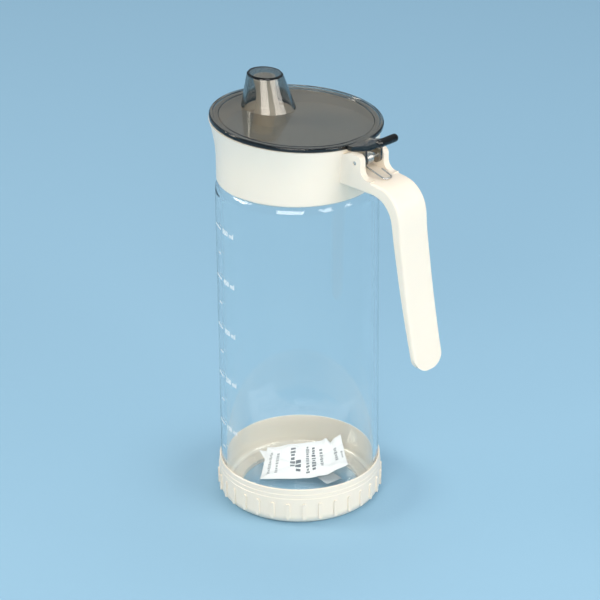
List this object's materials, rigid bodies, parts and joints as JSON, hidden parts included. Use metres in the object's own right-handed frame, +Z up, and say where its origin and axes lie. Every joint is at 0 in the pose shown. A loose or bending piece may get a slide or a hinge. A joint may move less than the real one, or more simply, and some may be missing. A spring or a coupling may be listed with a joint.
{
  "type": "glass oil dispenser",
  "caption": "Cylindrical glass oil dispenser with a base ring, a pouring head with a strap handle, and a spring-loaded hinged smoke lid whose cap covers the spout.",
  "frame": {"origin": "centre of the base ring's underside, on the surface that the dispenser stands on", "axes": "+Z up the jar's axis, +X towards the handle and hinge, -X towards the spout, +Y completes the right-handed frame"},
  "size_m": [0.1222, 0.0787, 0.2063],
  "materials": {
    "jar_glass": "clear, polished",
    "ivory_plastic": "glossy moulded ivory",
    "smoke_plastic": "glossy translucent smoke grey",
    "spring_steel": "drawn wire, bright",
    "sachet_paper": "coated paper with plain grey bars",
    "plain_paper": "plain white coated paper",
    "clear_film": "thin pale film"
  },
  "bodies": {
    "jug": {"glass_jar": "jar_glass", "base_ring": "ivory_plastic", "pourer_head": "ivory_plastic", "hinge_pin": "spring_steel", "lid_spring": "spring_steel", "sachet_printed": "sachet_paper", "sachet_plain": "plain_paper", "film_tag": "clear_film"},
    "lid": {"lid": "smoke_plastic"}
  },
  "joints": [
    {"name": "lid_hinge", "type": "hinge", "parent": "jug", "child": "lid", "pos_m": [0.0446, 0, 0.18245], "axis": [0, 1, 0], "range_deg": [0, 60], "stiffness_Nm_per_rad": 0.02, "springref_deg": -45.84}
  ]
}
